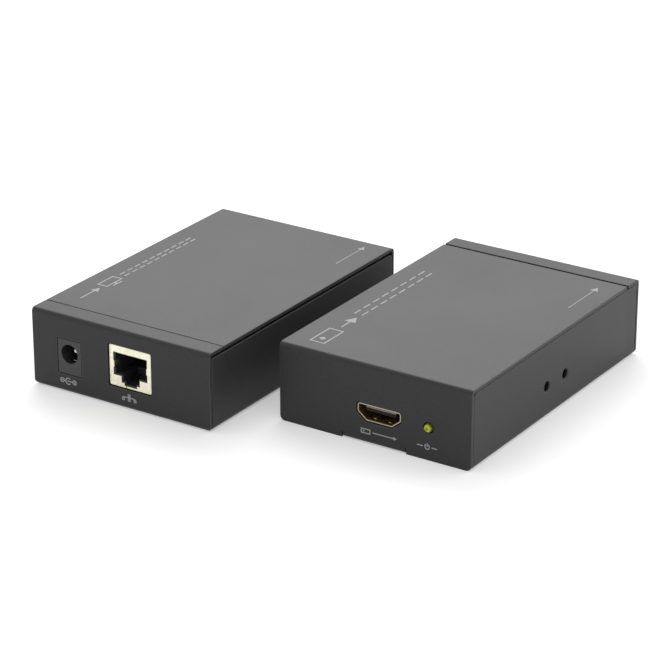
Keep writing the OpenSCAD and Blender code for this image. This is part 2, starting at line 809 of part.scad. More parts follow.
// Gold shell of the video socket
module video_legs(grow = 0) {
    for (side = [-1, 1], share = video_leg_shares)
        leg(shell_t, video_leg_w, video_rise + video_h - video_cheek_h / 2, side * (video_w - shell_t) / 2,
            share * video_d, grow);
}
module video_shell() {
    color("#c99a3c") at_video() {
        translate([0, 0, video_rise]) difference() {
            plate(video_d) polygon(rounded(video_outline(0), video_round));
            plate(video_d + 2 * overrun, -overrun)
                polygon(rounded(video_outline(-shell_t), video_round - shell_t));
        }
        video_legs();
        // two spring bumps that grip the plug from below
        for (side = [-1, 1]) translate([side * video_bump_x, video_bump_y, video_rise]) intersection() {
            r = (video_bump_d * video_bump_d / 4 + video_bump_h * video_bump_h) / (2 * video_bump_h);
            translate([0, 0, shell_t + video_bump_h - r]) sphere(r);
            translate([0, 0, shell_t / 2]) cylinder(h = shell_t + video_bump_h, d = 2 * video_bump_d);
        }
    }
}

// Insulator of the video socket: a block at the back and the tongue that carries the contacts
tongue_low_z = video_rise + shell_t + tongue_low;
tongue_high_z = tongue_low_z + tongue_t;
module video_tongue() {
    color("#2a211c") at_video() difference() {
        union() {
            bar(tongue_w, video_d - tongue_start - fit_gap, tongue_t, tongue_start, tongue_low_z);
            translate([0, 0, video_rise]) plate(video_d - tongue_block_start - fit_gap, tongue_block_start)
                polygon(rounded(video_outline(-shell_t - touch_gap), video_round - shell_t));
        }
        video_strips(upper_strips, tongue_high_z - strip_sink, touch_gap, overrun);
        video_strips(lower_strips, tongue_low_z + strip_sink - strip_t, touch_gap, overrun);
    }
}
module video_strips(count, z, grow = 0, past = 0) {
    for (x = row(count, video_pitch))
        translate([x, 0, 0])
            bar(strip_w + 2 * grow,
                video_d + strip_tail + strip_t - tongue_start - strip_start + grow + past,
                strip_t + 2 * grow, tongue_start + strip_start - grow, z - grow);
}
module strip_tails(count, z) {
    for (x = row(count, video_pitch)) translate([x, 0, 0]) {
        bar(strip_w, strip_t, z + strip_t, video_d + strip_tail);
        bar(strip_w, strip_foot, strip_t, video_d + strip_tail);
    }
}
module video_contacts() {
    upper_z = tongue_high_z - strip_sink;
    lower_z = tongue_low_z + strip_sink - strip_t;
    color("#e0bd6a") at_video() {
        video_strips(upper_strips, upper_z);
        strip_tails(upper_strips, upper_z);
        video_strips(lower_strips, lower_z);
        strip_tails(lower_strips, lower_z);
    }
}

// Power lamp with its dome through the end wall, its leads and the block that holds it
module power_lamp() {
    back = lamp_body - lamp_proud;
    color("#b6d23a") at_lamp() {
        translate([0, lamp_d / 2 - lamp_proud, 0]) sphere(d = lamp_d);
        rod(lamp_d / 2, back - lamp_d / 2 + lamp_proud, lamp_d / 2 - lamp_proud);
        rod(lamp_flange_d / 2, lamp_flange_t, back - lamp_flange_t);
    }
}
module lamp_lead_tails(grow = 0) {
    for (x = row(lamp_lead_count, lamp_lead_pitch))
        translate([0, 0, -lamp_z]) leg(lamp_lead_t, lamp_lead_t, lamp_z, x,
            lamp_body - lamp_proud + lamp_lead_run - lamp_lead_t / 2, grow);
}
module lamp_leads() {
    color("#c8c8c4") at_lamp() {
        for (x = row(lamp_lead_count, lamp_lead_pitch)) translate([x, 0, 0])
            bar(lamp_lead_t, lamp_lead_run, lamp_lead_t, lamp_body - lamp_proud, -lamp_lead_t / 2);
        lamp_lead_tails();
    }
}
module lamp_holder() {
    back = lamp_body - lamp_proud;
    color("#1e1e20") at_lamp() difference() {
        bar(lamp_holder_w, lamp_holder_d, lamp_z + lamp_holder_w / 2, lamp_holder_start, -lamp_z);
        rod(lamp_d / 2 + touch_gap, lamp_holder_d, lamp_holder_start - overrun);
        rod(lamp_flange_d / 2 + touch_gap, lamp_holder_d, back - lamp_flange_t - touch_gap);
        // open at the back, where the leads turn down
        bar(lamp_holder_w - 2 * lamp_holder_wall, lamp_holder_d, lamp_z + lamp_holder_w, back,
            -lamp_z - overrun);
    }
}

// Moves what is drawn to a place on the board
module on_board(x, y) {
    translate([x, y, board_top]) children();
}

// Main chip: a flat block with gull-wing legs on all four sides
module main_chip() {
    reach = chip_w / 2 + chip_leg_reach;
    color("#17181a") on_board(network_x, chip_y) {
        translate([-chip_w / 2, -chip_w / 2, chip_lift]) cube([chip_w, chip_w, chip_h]);
        for (a = [0:90:270], x = row(chip_legs, chip_leg_pitch)) rotate(a) translate([x, 0, 0]) {
            bar(chip_leg_w, chip_leg_reach / 2, chip_leg_t, chip_w / 2, chip_lift + chip_h / 2);
            bar(chip_leg_w, chip_leg_t, chip_lift + chip_h / 2 + chip_leg_t, (chip_w + chip_leg_reach) / 2);
            bar(chip_leg_w, chip_leg_reach / 2, chip_leg_t, reach - chip_leg_reach / 2);
        }
    }
}

module line_transformer() {
    foot = transformer_leg_w;
    color("#202124") on_board(network_x, transformer_y) {
        translate([-transformer_w / 2, -transformer_d / 2, foot / 2])
            cube([transformer_w, transformer_d, transformer_h]);
        for (side = [0, 180], x = row(transformer_legs, transformer_w / transformer_legs))
            rotate(side) translate([x, 0, 0]) bar(foot, foot, foot, (transformer_d - foot) / 2);
    }
}

// Crystal in a can with round ends on a wider base
module stadium(l, w, h) {
    linear_extrude(h) {
        square([l - w, w], center = true);
        for (side = [-1, 1]) translate([side * (l - w) / 2, 0]) circle(d = w);
    }
}
module clock_crystal() {
    color("#c6c8cb") on_board(network_x, crystal_y) {
        stadium(crystal_l, crystal_w, crystal_base_t);
        translate([0, 0, crystal_base_t])
            stadium(crystal_l - 2 * crystal_rim, crystal_w - 2 * crystal_rim, crystal_h - crystal_base_t);
    }
}

module voltage_regulator() {
    color("#1a1a1c") on_board(power_x, regulator_y) {
        bar(regulator_w, regulator_d, regulator_h, -regulator_d / 2);
        bar(regulator_w - regulator_leg_w, regulator_tab_d, regulator_tab_t, regulator_d / 2);
        for (x = row(regulator_legs, regulator_w / regulator_legs)) translate([x, 0, 0])
            bar(regulator_leg_w, regulator_tab_d, regulator_tab_t, -regulator_d / 2 - regulator_tab_d);
    }
}

module power_coil() {
    side = coil_w / 2;
    inner = side - coil_bevel;
    color("#3a3a3c") on_board(power_x, coil_y) {
        translate([0, 0, coil_pad_t]) linear_extrude(coil_h - coil_pad_t)
            polygon([[-side, -inner], [-inner, -side], [inner, -side], [side, -inner],
                     [side, inner], [inner, side], [-inner, side], [-side, inner]]);
        for (y = [-side, inner]) bar(2 * inner, coil_bevel, coil_pad_t, y);
    }
}

// Capacitor cans, each on a square base with two bevelled corners
module capacitors() {
    side = can_base_w / 2;
    inner = side - can_base_h;
    color("#b8bcc2") for (place = can_places) on_board(place.x, place.y) {
        linear_extrude(can_base_h)
            polygon([[-side, -side], [inner, -side], [side, -inner],
                     [side, inner], [inner, side], [-side, side]]);
        rotate_extrude() {
            square([can_d / 2, can_base_h + can_neck_h]);
            square([can_d / 2 - can_neck, can_h]);
            translate([0, can_base_h + 2 * can_neck_h])
                square([can_d / 2, can_h - can_base_h - 2 * can_neck_h]);
        }
    }
}

in_receiver() base_tray();  // receiver_base_tray
in_receiver() top_cover(receiver_lip_gap);  // receiver_top_cover
in_receiver() cover_screw();  // receiver_cover_screw
in_receiver() board_posts();  // receiver_board_posts
in_receiver() board_screws();  // receiver_board_screws
in_receiver() circuit_board();  // receiver_circuit_board
in_receiver() video_shell();  // receiver_video_shell
in_receiver() video_tongue();  // receiver_video_tongue
in_receiver() video_contacts();  // receiver_video_contacts
in_receiver() network_shield();  // receiver_network_shield
in_receiver() network_housing();  // receiver_network_housing
in_receiver() spring_wires();  // receiver_spring_wires
in_receiver() network_pins();  // receiver_network_pins
in_receiver() power_housing();  // receiver_power_housing
in_receiver() power_pin();  // receiver_power_pin
in_receiver() leaf_spring();  // receiver_leaf_spring
in_receiver() power_tabs();  // receiver_power_tabs
in_receiver() power_lamp();  // receiver_power_lamp
in_receiver() lamp_holder();  // receiver_lamp_holder
in_receiver() lamp_leads();  // receiver_lamp_leads
in_receiver() main_chip();  // receiver_main_chip
in_receiver() line_transformer();  // receiver_line_transformer
in_receiver() clock_crystal();  // receiver_clock_crystal
in_receiver() voltage_regulator();  // receiver_voltage_regulator
in_receiver() power_coil();  // receiver_power_coil
in_receiver() capacitors();  // receiver_capacitors
in_transmitter() base_tray();  // transmitter_base_tray
in_transmitter() top_cover(transmitter_lip_gap);  // transmitter_top_cover
in_transmitter() cover_screw();  // transmitter_cover_screw
in_transmitter() board_posts();  // transmitter_board_posts
in_transmitter() board_screws();  // transmitter_board_screws
in_transmitter() circuit_board();  // transmitter_circuit_board
in_transmitter() video_shell();  // transmitter_video_shell
in_transmitter() video_tongue();  // transmitter_video_tongue
in_transmitter() video_contacts();  // transmitter_video_contacts
in_transmitter() network_shield();  // transmitter_network_shield
in_transmitter() network_housing();  // transmitter_network_housing
in_transmitter() spring_wires();  // transmitter_spring_wires
in_transmitter() network_pins();  // transmitter_network_pins
in_transmitter() power_housing();  // transmitter_power_housing
in_transmitter() power_pin();  // transmitter_power_pin
in_transmitter() leaf_spring();  // transmitter_leaf_spring
in_transmitter() power_tabs();  // transmitter_power_tabs
in_transmitter() power_lamp();  // transmitter_power_lamp
in_transmitter() lamp_holder();  // transmitter_lamp_holder
in_transmitter() lamp_leads();  // transmitter_lamp_leads
in_transmitter() main_chip();  // transmitter_main_chip
in_transmitter() line_transformer();  // transmitter_line_transformer
in_transmitter() clock_crystal();  // transmitter_clock_crystal
in_transmitter() voltage_regulator();  // transmitter_voltage_regulator
in_transmitter() power_coil();  // transmitter_power_coil
in_transmitter() capacitors();  // transmitter_capacitors
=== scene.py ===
# %% [markdown]
# # Two steel boxes that carry a picture over one network cable
# The real product is a pair: a transmitter, which takes a picture from a player, and a receiver, which hands
# it to a screen. The solids come from the CAD part. This lesson dresses them: it gives each piece a finish
# made of nodes, prints the marks, and sets up a small photo studio.

# %% Load the solids
import json
import math

import bpy
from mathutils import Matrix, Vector


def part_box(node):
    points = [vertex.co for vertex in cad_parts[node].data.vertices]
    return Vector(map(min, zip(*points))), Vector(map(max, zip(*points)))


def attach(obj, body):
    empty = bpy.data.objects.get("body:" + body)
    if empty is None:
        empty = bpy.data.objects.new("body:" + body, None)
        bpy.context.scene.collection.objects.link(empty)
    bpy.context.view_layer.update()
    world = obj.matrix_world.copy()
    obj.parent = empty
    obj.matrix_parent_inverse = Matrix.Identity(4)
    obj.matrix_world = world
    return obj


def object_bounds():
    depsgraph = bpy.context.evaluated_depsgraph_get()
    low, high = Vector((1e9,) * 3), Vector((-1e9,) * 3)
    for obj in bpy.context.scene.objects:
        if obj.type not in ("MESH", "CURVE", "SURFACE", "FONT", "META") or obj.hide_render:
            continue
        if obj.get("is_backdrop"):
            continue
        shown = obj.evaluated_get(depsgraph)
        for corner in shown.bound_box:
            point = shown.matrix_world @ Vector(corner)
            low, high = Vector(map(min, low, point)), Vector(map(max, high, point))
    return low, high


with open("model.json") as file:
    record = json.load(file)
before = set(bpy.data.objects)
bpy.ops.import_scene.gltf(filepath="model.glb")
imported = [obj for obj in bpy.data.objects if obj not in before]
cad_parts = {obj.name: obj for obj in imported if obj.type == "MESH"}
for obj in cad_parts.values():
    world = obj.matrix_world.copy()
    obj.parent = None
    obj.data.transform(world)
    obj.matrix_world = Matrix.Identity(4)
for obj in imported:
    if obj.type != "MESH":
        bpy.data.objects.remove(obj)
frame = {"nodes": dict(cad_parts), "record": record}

MM = 0.001
cad_box = [list(corner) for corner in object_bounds()]
print("the pair measures", [round((b - a) / MM, 1) for a, b in zip(*cad_box)], "mm")

# %% [markdown]
# ## Where things are
# Everything that is placed here is measured from the solids. The two boxes are the same box, one of them
# turned half round, so a place in one box is found in the other by turning it about the middle of the pair.

# %% Measure the two boxes
SIDES = ("receiver", "transmitter")


def middle(node):
    low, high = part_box(node)
    return (low + high) / 2


def case_corners(side):
    tray_low, tray_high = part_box(side + "_base_tray")
    cover_low, cover_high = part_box(side + "_top_cover")
    low = Vector(map(min, tray_low, cover_low))
    high = Vector(map(max, tray_high, cover_high))
    return low, high


case = {side: case_corners(side) for side in SIDES}
case_middle = {side: (low + high) / 2 for side, (low, high) in case.items()}
board_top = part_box("receiver_circuit_board")[1].z
lamp_middle = middle("receiver_power_lamp") - case_middle["receiver"]
front_mm = (case["receiver"][0].y - case_middle["receiver"].y) / MM
print("middle of the receiver's case", [round(v / MM, 2) for v in case_middle["receiver"]], "mm")
print("its front lies", round(-front_mm, 2), "mm before its middle")
print("top of the circuit board", round(board_top / MM, 2), "mm above the table")

# %% [markdown]
# ## Writing materials as recipes
# A material in Blender is a tree of nodes. Adding and joining nodes by hand takes many lines, so this small
# class does both: each call adds one node, sets it up, and joins whatever it is given to its inputs. The
# recipes below then read from top to bottom, like a list of steps. Most masks run from 0 to 1: spread makes
# such a mask of a value, between turns it into another range, and weakened takes a share of it.


# %% A bench for putting nodes together
class Bench:
    def __init__(self, tree):
        self.tree = tree

    def feed(self, socket, value):
        if isinstance(value, bpy.types.NodeSocket):
            self.tree.links.new(value, socket)
        else:
            socket.default_value = value

    def add(self, kind, inputs=None, **settings):
        node = self.tree.nodes.new("ShaderNode" + kind)
        for name, value in settings.items():
            setattr(node, name, value)
        for name, value in (inputs or {}).items():
            self.feed(node.inputs[name], value)
        return node

    def maths(self, operation, a, b=0.0, c=0.0):
        return self.add("Math", {0: a, 1: b, 2: c}, operation=operation).outputs[0]

    def vector(self, operation, a, b=(0, 0, 0)):
        return self.add("VectorMath", {0: a, 1: b}, operation=operation).outputs[0]

    def scaled(self, vector, factor):
        return self.add("VectorMath", {0: vector, "Scale": factor}, operation="SCALE").outputs[0]

    def component(self, vector, axis):
        return self.add("SeparateXYZ", {0: vector}).outputs["XYZ".index(axis)]

    def spread(self, value, low, high, to_low=0.0, to_high=1.0):
        ends = {"Value": value, "From Min": low, "From Max": high, "To Min": to_low, "To Max": to_high}
        return self.add("MapRange", ends, clamp=True).outputs[0]

    def between(self, mask, low, high):
        return self.spread(mask, 0.0, 1.0, low, high)

    def weakened(self, mask, share):
        return self.maths("MULTIPLY", mask, share)

    def mixed(self, factor, a, b):
        return self.add("Mix", {0: factor, 6: a, 7: b}, data_type="RGBA").outputs[2]

    def noise(self, place, per_metre, **inputs):
        return self.add("TexNoise", {"Vector": place, "Scale": per_metre, **inputs}).outputs[0]


# %% [markdown]
# ## Effects that many finishes share
# Grain, wear, dust and finger marks show on nearly every piece, only in other amounts. Each one is a node
# group: it is built once, has named inputs, and gives back a mask, a colour, a height or a normal. A
# material places the group and decides what the mask does to it.


# %% Make a node group with named inputs and outputs
def effect(name, inputs, outputs, recipe):
    tree = bpy.data.node_groups.new(name, "ShaderNodeTree")
    for label, kind, value in inputs:
        socket = tree.interface.new_socket(label, in_out="INPUT", socket_type="NodeSocket" + kind)
        socket.default_value = value
    for label, kind in outputs:
        tree.interface.new_socket(label, in_out="OUTPUT", socket_type="NodeSocket" + kind)
    bench = Bench(tree)
    given = tree.nodes.new("NodeGroupInput").outputs
    made = recipe(bench, given)
    result = tree.nodes.new("NodeGroupOutput")
    for label, socket in made.items():
        tree.links.new(socket, result.inputs[label])
    print("effect", name, "takes", [label for label, _, _ in inputs], "and gives", list(made))
    return tree


def use(bench, tree, **inputs):
    node = bench.add("Group", node_tree=tree)
    for label, value in inputs.items():
        bench.feed(node.inputs[label.replace("_", " ")], value)
    return node.outputs


# %% [markdown]
# ### Grain
# Powder coat, moulded plastic and laminate all have a fine, even roughness. Noise in three dimensions gives
# it without any unwrapping, and it runs unbroken over the folds of the sheet. Its size is given in
# millimetres, so the same group serves for orange peel and for a much finer mould texture.


# %% Grain
FINER = 3.7             # the second noise is this much finer
FINER_SHARE = 0.35


def grain_recipe(bench, given):
    place = bench.add("TexCoord").outputs["Object"]
    per_metre = bench.maths("DIVIDE", 1 / MM, given["Size mm"])
    coarse = bench.noise(place, per_metre, Detail=2.0, Roughness=0.55)
    fine = bench.noise(place, bench.maths("MULTIPLY", per_metre, FINER), Detail=1.0)
    height = bench.maths("MULTIPLY_ADD", fine, FINER_SHARE, coarse)
    return {"Height": height, "Tone": bench.spread(coarse, low=0.32, high=0.68)}


grain = effect("grain", [("Size mm", "Float", 0.4)], [("Height", "Float"), ("Tone", "Float")], grain_recipe)

# %% [markdown]
# ### Rounded edges and edge wear
# Real sheet has softly rounded cut edges, and coatings are thinnest there. The Bevel node looks at the
# surface round each point. Its normal makes a sharp edge catch the light as a round one does, and where it
# turns away from the true normal there is an edge, which gives the mask for wear and for pale edges, among
# them a painted highlight. A bevel modelled in the mesh would also do, but it would change the CAD solid.


# %% Rounded edges and edge wear
WEAR_PER_METRE = 900.0


def edge_recipe(bench, given):
    radius = bench.maths("MULTIPLY", given["Width mm"], MM)
    soft = bench.add("Bevel", {"Radius": radius}, samples=6).outputs[0]
    flat = bench.add("NewGeometry").outputs["Normal"]
    agree = bench.add("VectorMath", {0: soft, 1: flat}, operation="DOT_PRODUCT").outputs["Value"]
    turned = bench.spread(agree, low=0.995, high=0.86)
    place = bench.add("TexCoord").outputs["Object"]
    broken = bench.spread(bench.noise(place, WEAR_PER_METRE, Detail=3.0), low=0.36, high=0.62)
    return {"Normal": soft, "Edge": turned, "Worn": bench.maths("MULTIPLY", turned, broken)}


edges = effect("edges", [("Width mm", "Float", 0.2)],
               [("Normal", "Vector"), ("Edge", "Float"), ("Worn", "Float")], edge_recipe)

# %% [markdown]
# ### Dust
# Dust settles on faces that look up, in uneven patches of small specks. Two noises, a wide one and a very
# fine one, make the patches and the specks. It is quiet here, because the photographed pair is new.

# %% Dust
PATCHES_PER_METRE = 45.0
SPECKS_PER_METRE = 2600.0


def dust_recipe(bench, given):
    up = bench.component(bench.add("NewGeometry").outputs["Normal"], "Z")
    place = bench.add("TexCoord").outputs["Object"]
    patches = bench.noise(place, PATCHES_PER_METRE, Detail=5.0, Roughness=0.65)
    specks = bench.noise(place, SPECKS_PER_METRE, Detail=1.0)
    lying = bench.maths("MULTIPLY", bench.spread(patches, low=0.35, high=0.75),
                        bench.spread(specks, low=0.42, high=0.7))
    mask = bench.maths("MULTIPLY", lying, bench.spread(up, low=0.5, high=0.95))
    return {"Dust": bench.maths("MULTIPLY", mask, given["Amount"])}


dust = effect("dust", [("Amount", "Float", 0.1)], [("Dust", "Float")], dust_recipe)

# %% [markdown]
# ### Finger marks and clouds
# Finger marks change only the gloss, so in most finishes this mask goes to the roughness. It is a wide,
# twisted noise. At a smaller size the same mask serves for clouds and stains in plated metal.


# %% Finger marks and clouds
def marks_recipe(bench, given):
    place = bench.add("TexCoord").outputs["Object"]
    per_metre = bench.maths("DIVIDE", 1 / MM, given["Size mm"])
    wide = bench.noise(place, per_metre, Detail=3.0, Distortion=0.8)
    return {"Marks": bench.spread(wide, low=0.38, high=0.66)}


finger_marks = effect("finger marks", [("Size mm", "Float", 14.0)], [("Marks", "Float")], marks_recipe)

# %% [markdown]
# ### Drawn metal
# Rolled, drawn and brushed metal has fine lines that run one way. Noise that is stretched along that way
# looks the same from any side, and gives both a change of tone and a shallow height.


# %% Drawn metal
def lines_recipe(bench, given):
    place = bench.add("TexCoord").outputs["Object"]
    squeezed = bench.vector("MULTIPLY", place, given["Lines per metre"])
    lines = bench.noise(squeezed, per_metre=1.0, Detail=3.0, Roughness=0.7)
    return {"Tone": bench.spread(lines, low=0.3, high=0.7), "Height": lines}


drawn_lines = effect("drawn lines", [("Lines per metre", "Vector", (300, 9000, 9000))],
                     [("Tone", "Float"), ("Height", "Float")], lines_recipe)

# %% [markdown]
# ### Place inside one box
# Some finishes change from place to place: the lamp has a darker middle, chips have metal feet, and the lip
# is a little darker than the cover. Because the transmitter is the receiver turned half round, one sum turns
# any point of either box into the same place in a single box, in millimetres. It is counted from the case's
# middle, and upwards from the table.


# %% Place inside one box
def place_recipe(bench, given):
    split = bench.add("SeparateXYZ", {0: bench.add("TexCoord").outputs["Object"]})
    x, y, z = split.outputs[0], split.outputs[1], split.outputs[2]
    turn = bench.maths("MULTIPLY", bench.maths("SIGN", x), -1.0)
    centre = case_middle["receiver"]
    across = bench.maths("SUBTRACT", bench.maths("MULTIPLY", x, turn), centre.x)
    along = bench.maths("SUBTRACT", bench.maths("MULTIPLY", y, turn), centre.y)
    joined = bench.add("CombineXYZ", {0: across, 1: along, 2: z}).outputs[0]
    return {"Place mm": bench.scaled(joined, 1 / MM)}


place_in_box = effect("place in box", [], [("Place mm", "Vector")], place_recipe)

# %% [markdown]
# ## Finishes
# Each finish below is one material with its own Principled BSDF. Values that are the same all over are set
# on the shader itself; only what varies over the surface comes from nodes.

# %% Start a material
finishes = {}


def finish(slot, colour, **constants):
    material = bpy.data.materials.new(slot)
    material.use_nodes = True
    material.diffuse_color = (*colour[:3], 1)
    shader = material.node_tree.nodes["Principled BSDF"]
    for label, value in constants.items():
        shader.inputs[label.replace("_", " ")].default_value = value
    finishes[slot] = material
    print("finish", slot, constants)
    return Bench(material.node_tree), shader.inputs


def bumped(bench, height, normal, depth_mm, strength):
    steps = {"Height": height, "Normal": normal, "Distance": depth_mm * MM, "Strength": strength}
    return bench.add("Bump", steps).outputs[0]


# %% [markdown]
# ### Powder-coated steel
# The cases are folded from steel sheet, sprayed with charcoal powder and baked. The coat levels out to a
# satin film with a faint orange peel and a finer grain. The colour hardly changes; it is the roughness and
# the tiny bumps that make it read as powder coat. The sheet's edges are paler: partly the film thinning
# there, partly a painted highlight, the light line that a rounded edge catches.
# The lip, which the tray folds over the top, looks a little darker than the cover beside it. A slightly
# rougher film does that, and the place along the box tells the lip from the cover.

# %% Powder-coated steel
COAT_THICK, COAT_THIN = (0.0175, 0.0175, 0.018, 1), (0.0235, 0.0235, 0.024, 1)
COAT_AND_HIGHLIGHT_ON_EDGES = (0.13, 0.13, 0.132, 1)
DUST_GREY = (0.42, 0.41, 0.39, 1)
LIP_MM = 7.2            # how far the lip reaches over the top
LIP_BLUR_MM = 0.1
COAT_ROUGHNESS, ROUGHER_ON_LIP, ROUGHER_IN_MARKS = 0.43, 0.03, 0.02

bench, coat = finish("case_steel", (0.021, 0.021, 0.0215), IOR=1.38)
peel = use(bench, grain, Size_mm=0.55)
sand = use(bench, grain, Size_mm=0.14)
rim = use(bench, edges, Width_mm=0.45)
tone = bench.mixed(peel["Tone"], COAT_THICK, COAT_THIN)
# paler edges: thinner film plus a painted highlight along every edge
tone = bench.mixed(bench.weakened(rim["Edge"], share=0.6), tone, COAT_AND_HIGHLIGHT_ON_EDGES)
settled = use(bench, dust, Amount=0.03)
bench.feed(coat["Base Color"], bench.mixed(settled["Dust"], tone, DUST_GREY))
along = bench.component(use(bench, place_in_box)["Place mm"], "Y")
lip_edge = front_mm + LIP_MM
on_lip = bench.spread(along, low=lip_edge + LIP_BLUR_MM, high=lip_edge - LIP_BLUR_MM)
film = bench.maths("MULTIPLY_ADD", on_lip, ROUGHER_ON_LIP, COAT_ROUGHNESS)
touched = use(bench, finger_marks, Size_mm=45.0)
bench.feed(coat["Roughness"], bench.maths("MULTIPLY_ADD", touched["Marks"], ROUGHER_IN_MARKS, film))
levelled = bumped(bench, peel["Height"], rim["Normal"], depth_mm=0.03, strength=0.6)
bench.feed(coat["Normal"], bumped(bench, sand["Height"], levelled, depth_mm=0.006, strength=0.6))

# %% [markdown]
# ### Ink of the marks
# The marks are screen-printed in one pale grey ink. It is matt, covers unevenly on the grain below it, and
# is a little thinner in patches, where hands have rubbed it.

# %% Ink of the marks
INK_THIN, INK_FULL = (0.29, 0.29, 0.29, 1), (0.37, 0.37, 0.365, 1)
INK_RUBBED = (0.24, 0.24, 0.24, 1)

bench, ink = finish("print_ink", (0.33, 0.33, 0.33), IOR=1.45)
cover = use(bench, grain, Size_mm=0.2)
wear_and_sheen = use(bench, finger_marks, Size_mm=5.0)
film = bench.mixed(cover["Tone"], INK_THIN, INK_FULL)
film = bench.mixed(bench.weakened(wear_and_sheen["Marks"], share=0.25), film, INK_RUBBED)
bench.feed(ink["Base Color"], film)
bench.feed(ink["Roughness"], bench.between(cover["Tone"], low=0.5, high=0.65))

# %% [markdown]
# ### Tinned shield of the network socket
# The shield is stamped from thin tinned sheet. It is pale and slightly warm, with fine drawing lines, soft
# stamped edges and cloudy patches where the tin froze. It is a metal, so its colour is what it reflects.
# Only its face is meant to be seen. Behind the end wall its colour is darkened as painted shade, the dark
# inside the case, so that it doesn't glint through the seam, and the depth behind the wall decides where that
# begins.

# %% Tinned shield
TIN_DULL, TIN_BRIGHT = (0.84, 0.81, 0.64, 1), (0.93, 0.91, 0.77, 1)
TIN_CLOUD, TIN_SHADED_INSIDE = (0.68, 0.64, 0.46, 1), (0.20, 0.19, 0.165, 1)
FACE_DEPTH_MM, SHADE_DEPTH_MM = 1.5, 2.5     # behind the case's front

bench, tin = finish("tinned_shield", (0.88, 0.85, 0.70), Metallic=1.0)
rolled = use(bench, drawn_lines, Lines_per_metre=(700, 700, 14000))
rim = use(bench, edges, Width_mm=0.18)
clouds = use(bench, finger_marks, Size_mm=1.6)
sheet = bench.mixed(rolled["Tone"], TIN_DULL, TIN_BRIGHT)
sheet = bench.mixed(bench.weakened(clouds["Marks"], share=0.45), sheet, TIN_CLOUD)
depth = bench.component(use(bench, place_in_box)["Place mm"], "Y")
# painted shade: the shield turns dark behind the end wall, where the inside of the case lies in shade
shade_inside = bench.spread(depth, low=front_mm + FACE_DEPTH_MM, high=front_mm + SHADE_DEPTH_MM)
bench.feed(tin["Base Color"], bench.mixed(shade_inside, sheet, TIN_SHADED_INSIDE))
bench.feed(tin["Roughness"], bench.between(clouds["Marks"], low=0.33, high=0.48))
bench.feed(tin["Normal"], bumped(bench, rolled["Height"], rim["Normal"], depth_mm=0.004, strength=0.4))

# %% [markdown]
# ### Gold-plated metals
# The video socket's shell is flash-plated with pale gold over nickel, and the contacts carry a deeper gold.
# A colour that wanders between two golds, and a roughness that follows the drawing lines, keep the plating
# from looking like yellow paint. Where the strip was cut, at the open ends, a greyer metal shows: those are
# the faces that look along the box.


# %% Gold-plated metals
ROUGHER_IN_LINES = 0.14


def plated(slot, light, deep, cut, gloss):
    bench, metal = finish(slot, light, Metallic=1.0)
    lines = use(bench, drawn_lines, Lines_per_metre=(5000, 700, 5000))
    rim = use(bench, edges, Width_mm=0.12)
    bath = use(bench, finger_marks, Size_mm=3.0)
    facing = bench.component(bench.add("NewGeometry").outputs["Normal"], "Y")
    open_end = bench.spread(bench.maths("ABSOLUTE", facing), low=0.7, high=0.95, to_high=0.9)
    colour = bench.mixed(bath["Marks"], light, deep)
    bench.feed(metal["Base Color"], bench.mixed(open_end, colour, cut))
    bench.feed(metal["Roughness"], bench.between(lines["Tone"], low=gloss, high=gloss + ROUGHER_IN_LINES))
    bench.feed(metal["Normal"], bumped(bench, lines["Height"], rim["Normal"], depth_mm=0.003, strength=0.35))


plated("gold_shell", light=(0.66, 0.51, 0.30, 1), deep=(0.60, 0.40, 0.17, 1), cut=(0.40, 0.36, 0.29, 1),
       gloss=0.3)
plated("contact_gold", light=(0.88, 0.68, 0.30, 1), deep=(0.78, 0.53, 0.18, 1), cut=(0.84, 0.70, 0.42, 1),
       gloss=0.2)

# %% [markdown]
# ### Bright nickel and zinc
# Pins, leads, solder tabs and small screws are nickel or zinc plated, and the cans of the crystal and the
# capacitors are as bright. They share one recipe with other tones: zinc is duller and a little blue, nickel
# is warmer and brighter.


# %% Bright nickel and zinc
ROUGHER_IN_STAINS = 0.15


def bright_metal(slot, light, dull, gloss, lines_per_metre):
    bench, metal = finish(slot, light, Metallic=1.0)
    lines = use(bench, drawn_lines, Lines_per_metre=lines_per_metre)
    rim = use(bench, edges, Width_mm=0.12)
    stain = use(bench, finger_marks, Size_mm=2.5)
    colour = bench.mixed(lines["Tone"], dull, light)
    colour = bench.mixed(bench.weakened(stain["Marks"], share=0.4), colour, dull)
    bench.feed(metal["Base Color"], colour)
    bench.feed(metal["Roughness"], bench.between(stain["Marks"], low=gloss, high=gloss + ROUGHER_IN_STAINS))
    bench.feed(metal["Normal"], bumped(bench, lines["Height"], rim["Normal"], depth_mm=0.003, strength=0.3))


bright_metal("nickel_contact", light=(0.93, 0.92, 0.88, 1), dull=(0.78, 0.76, 0.71, 1), gloss=0.2,
             lines_per_metre=(6000, 500, 6000))
bright_metal("zinc_steel", light=(0.66, 0.68, 0.72, 1), dull=(0.48, 0.50, 0.53, 1), gloss=0.3,
             lines_per_metre=(900, 900, 9000))
bright_metal("crystal_can", light=(0.76, 0.77, 0.78, 1), dull=(0.6, 0.61, 0.62, 1), gloss=0.28,
             lines_per_metre=(9000, 600, 9000))
bright_metal("capacitor_can", light=(0.80, 0.82, 0.85, 1), dull=(0.66, 0.68, 0.71, 1), gloss=0.3,
             lines_per_metre=(700, 700, 12000))

# %% [markdown]
# ### Black oxide screw
# The cover's screw is blackened steel. The oxide wears off first on the rims of its cross recess.

# %% Black oxide screw
OXIDE_DARK, OXIDE_PALE = (0.015, 0.015, 0.017, 1), (0.035, 0.035, 0.04, 1)
OXIDE_WORN = (0.3, 0.29, 0.28, 1)

